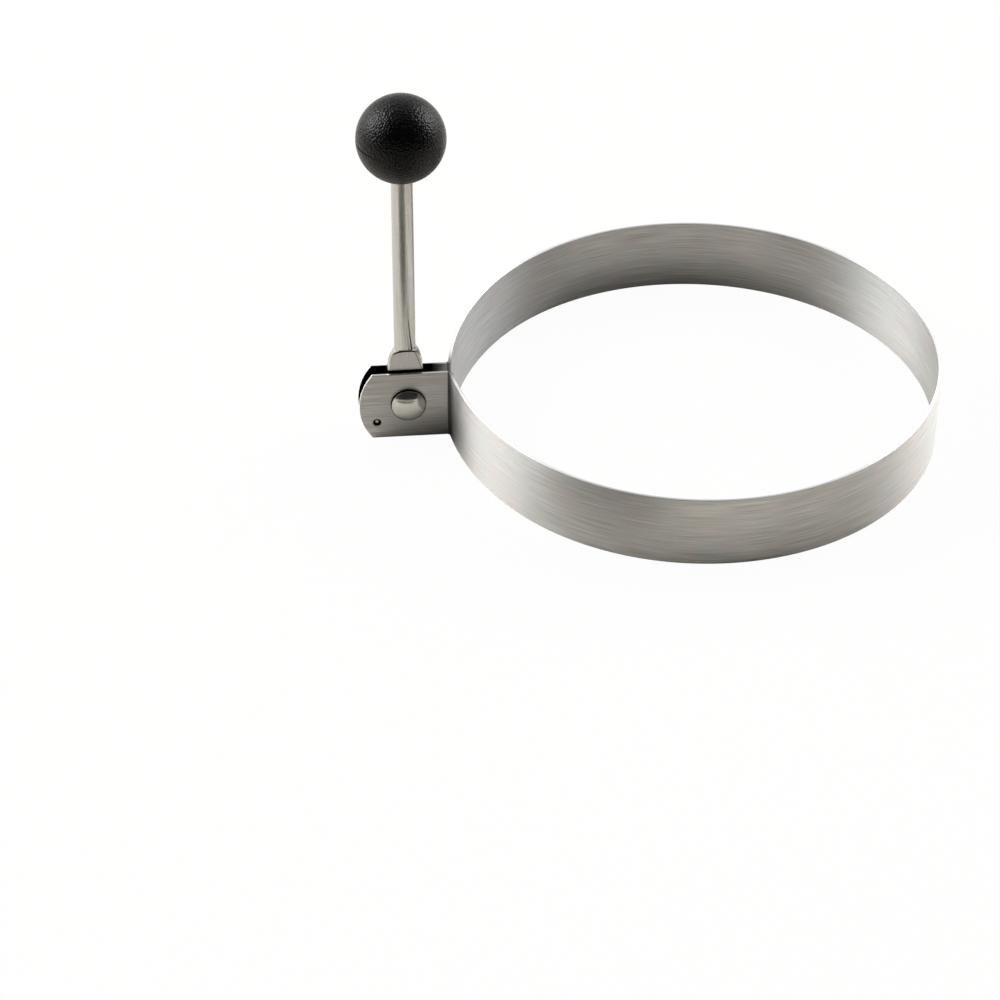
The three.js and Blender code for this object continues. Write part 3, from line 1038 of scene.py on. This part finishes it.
KNOB_DARK = (0.001, 0.001, 0.0009, 1)
KNOB_LIGHT = (0.003, 0.0029, 0.0027, 1)
KNOB_SPECULAR = 0.17
KNOB_CLOUD_SIZE = 0.004
KNOB_CLOUD_SPAN = (0.3, 0.7)
KNOB_CLOUD_SHARE = 0.5
KNOB_GRAIN_SHARE = 0.5
PEBBLE_SIZE = 0.0004
PEBBLE_HEIGHT = 0.00015
PEBBLE_NOISE_SHARE = 0.5
SHEEN_SPAN = (0.4, 1.3)
SHEEN_ROUGHNESS = (0.2, 0.3)
BELOW_ROUGHNESS = 0.3


def knob_plastic():
    """Black plastic with the fine pebble of an etched mould. It is rougher below and in the groove."""
    material, tree, shader = new_material("knob_plastic")
    place = node(tree, "TexCoord").outputs["Object"]
    pebble = node(tree, "TexVoronoi", {"Vector": place, "Scale": 1 / PEBBLE_SIZE}, feature="SMOOTH_F1")
    grain = added(tree, pebble.outputs["Distance"], clouds(tree, PEBBLE_SIZE), PEBBLE_NOISE_SHARE)
    cloud = clouds(tree, KNOB_CLOUD_SIZE)
    grey = between(tree, cloud, *KNOB_CLOUD_SPAN, 0, KNOB_CLOUD_SHARE)
    grey = added(tree, grey, grain, KNOB_GRAIN_SHARE)
    tree.links.new(mixed(tree, grey, KNOB_DARK, KNOB_LIGHT), shader.inputs["Base Color"])
    sheen = added(tree, grain, cloud, KNOB_CLOUD_SHARE)
    sheen = between(tree, sheen, *SHEEN_SPAN, *SHEEN_ROUGHNESS)
    parts = own_parts(tree)
    below = between(tree, parts["Z"], -KNOB_RADIUS, 0, BELOW_ROUGHNESS, 0)
    groove = line_at(tree, parts["Z"], 0, GROOVE_HALF_WIDTH, GROOVE_HALF_WIDTH / 2)
    side = between(tree, parts["X"], -KNOB_RADIUS, -KNOB_RADIUS * GROOVE_FAINT_END, 1, 0)
    roughness = computed(tree, "ADD", sheen, largest(tree, below, product(tree, groove, side)))
    tree.links.new(roughness, shader.inputs["Roughness"])
    bump = node(tree, "Bump", {"Height": grain, "Strength": 1, "Distance": PEBBLE_HEIGHT})
    tree.links.new(bump.outputs[0], shader.inputs["Normal"])
    shader.inputs["Specular IOR Level"].default_value = KNOB_SPECULAR
    return material


# Stage: floor, world, lamps and camera.

FLOOR_SIZE = 6.0
FLOOR_WHITE = (0.84, 0.79, 0.70, 1)
SEEN_GLOW_SHARE = 0.965
MIRRORED_GLOW_SHARE = 0.05
WORLD_FRONT = -0.35
WORLD_BACK = 0.85
WORLD_DARK = 0.03
WORLD_BRIGHT = 0.82
WORLD_TILT = 0.05
# Colour of the sheet that stands in for shade in reflections.
PATCH_SHADE_COLOUR = (0.12, 0.11, 0.095, 1)
PATCH_ROUGHNESS = 0.9
PATCH_RADIUS = 0.055
PATCH_OFFSET = Vector((-0.014, -0.1, 0.0002))


def floor_paper():
    """White paper. Part of its white is a glow, so that it stays white to the eye and in the metal,
    and the rest takes the object's shadow."""
    material, tree = blank_material("floor_paper")
    path = node(tree, "LightPath").outputs
    seen = computed(tree, "ADD", path["Is Camera Ray"], path["Is Transmission Ray"])
    seen = product(tree, seen, SEEN_GLOW_SHARE)
    share = added(tree, seen, path["Is Glossy Ray"], MIRRORED_GLOW_SHARE)
    paper = node(tree, "BsdfDiffuse", {"Color": FLOOR_WHITE})
    glow = node(tree, "Emission", {"Color": (1, 1, 1, 1), "Strength": 1.0})
    blend = node(tree, "MixShader", {0: share, 1: paper.outputs[0], 2: glow.outputs[0]})
    node(tree, "OutputMaterial", {"Surface": blend.outputs[0]})
    return material


def make_floor():
    """A square card that the object stands on."""
    bm = bmesh.new()
    for x, y in ((-1, -1), (1, -1), (1, 1), (-1, 1)):
        bm.verts.new((x * FLOOR_SIZE / 2, y * FLOOR_SIZE / 2, 0))
    bm.faces.new(bm.verts)
    card = new_object("floor", bm)
    card.data.materials.append(floor_paper())


def make_world():
    """A soft room, bright behind the object and dark in front of it. The eye sees it plain white."""
    world = bpy.data.worlds.new("studio")
    bpy.context.scene.world = world
    world.use_nodes = True
    tree = world.node_tree
    tree.nodes.clear()
    way = node(tree, "TexCoord").outputs["Generated"]
    parts = node(tree, "SeparateXYZ", {0: way}).outputs
    depth = added(tree, parts["Y"], parts["X"], WORLD_TILT)
    spans = {"Value": depth, "From Min": WORLD_FRONT, "From Max": WORLD_BACK}
    levels = {"To Min": WORLD_DARK, "To Max": WORLD_BRIGHT}
    level = node(tree, "MapRange", spans | levels, interpolation_type="SMOOTHSTEP").outputs["Result"]
    room = node(tree, "Background", {"Color": (1, 1, 1, 1), "Strength": level})
    white = node(tree, "Background", {"Color": (1, 1, 1, 1), "Strength": 1.0})
    path = node(tree, "LightPath").outputs
    blend = node(tree, "MixShader", {0: path["Is Camera Ray"], 1: room.outputs[0], 2: white.outputs[0]})
    node(tree, "OutputWorld", {"Surface": blend.outputs[0]})


LAMP_WHITE = (0.975, 0.985, 1)
LAMP_AIM = Vector((0, 0, 0.02))
LAMP_DISTANCE = 1.5
LAMP_WIDTH = 1.1
LAMP_HEIGHT = 0.9
RADIANCE_TO_WATTS = 4
LAMPS = (
    {"name": "lamp_back_right", "azimuth": 25, "elevation": 28, "radiance": 5},
    {"name": "lamp_back_left", "azimuth": 158, "elevation": 30, "radiance": 6.6},
)


def make_lamp(name, azimuth, elevation, radiance):
    """A soft box aimed at the hoop. Its azimuth is counted from +X towards +Y, and both angles are in
    degrees."""
    turn, rise = math.radians(azimuth), math.radians(elevation)
    way = Vector((math.cos(turn) * math.cos(rise), math.sin(turn) * math.cos(rise), math.sin(rise)))
    place = LAMP_DISTANCE * way
    data = bpy.data.lights.new(name, "AREA")
    data.shape = "RECTANGLE"
    data.size = LAMP_WIDTH
    data.size_y = LAMP_HEIGHT
    data.energy = radiance * LAMP_WIDTH * LAMP_HEIGHT * RADIANCE_TO_WATTS
    data.color = LAMP_WHITE
    lamp = bpy.data.objects.new(name, data)
    bpy.context.scene.collection.objects.link(lamp)
    look = (LAMP_AIM - place).to_track_quat("-Z", "Y")
    lamp.matrix_world = Matrix.Translation(place) @ look.to_matrix().to_4x4()
    lamp.visible_camera = False


def make_reflected_shade_patch():
    """A dark sheet in front of the hinge that stands in for shade, and that only the metal's and the
    ball's reflections see. It gives the tube its dark middle and the ball its dark underside."""
    material, _, shader = new_material("reflected_shade_card")
    shader.inputs["Base Color"].default_value = PATCH_SHADE_COLOUR
    shader.inputs["Roughness"].default_value = PATCH_ROUGHNESS
    bm = bmesh.new()
    bmesh.ops.create_circle(bm, cap_ends=True, radius=PATCH_RADIUS, segments=HOLE_STEPS)
    patch = new_object("reflected_shade_patch", bm)
    patch.data.materials.append(material)
    patch.location = (PIVOT.x + PATCH_OFFSET.x, PIVOT.y + PATCH_OFFSET.y, PATCH_OFFSET.z)
    patch.visible_camera = False
    patch.visible_diffuse = False
    patch.visible_shadow = False


def make_camera():
    data = bpy.data.cameras.new("camera")
    data.sensor_width = CAMERA_SENSOR
    data.lens = CAMERA_LENS
    data.clip_start = CAMERA_CLIP_START
    camera = bpy.data.objects.new("camera", data)
    bpy.context.scene.collection.objects.link(camera)
    turn = Matrix.Rotation(CAMERA_AZIMUTH, 4, "Z")
    tilt = Matrix.Rotation(math.pi / 2 - CAMERA_PITCH, 4, "X")
    roll = Matrix.Rotation(CAMERA_ROLL, 4, "Z")
    camera.matrix_world = Matrix.Translation(CAMERA_PLACE) @ turn @ tilt @ roll
    bpy.context.scene.camera = camera


def dress(piece, node_name, body, material):
    """Gives a piece its material and puts it in the CAD node's place."""
    piece.data.materials.clear()
    piece.data.materials.append(material)
    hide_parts(node_name)
    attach(piece, body)


make_camera()
make_floor()
make_world()
for lamp in LAMPS:
    make_lamp(**lamp)
make_reflected_shade_patch()

dress(make_hoop(), "ring_band", "hoop", band_steel())
dress(make_rivet(), "pivot_rivet", "hoop", rivet_steel())
dress(make_tube(), "handle_tube", "handle", tube_steel())
dress(make_ball(), "ball_knob", "handle", knob_plastic())

bpy.context.scene.view_settings.view_transform = "Standard"
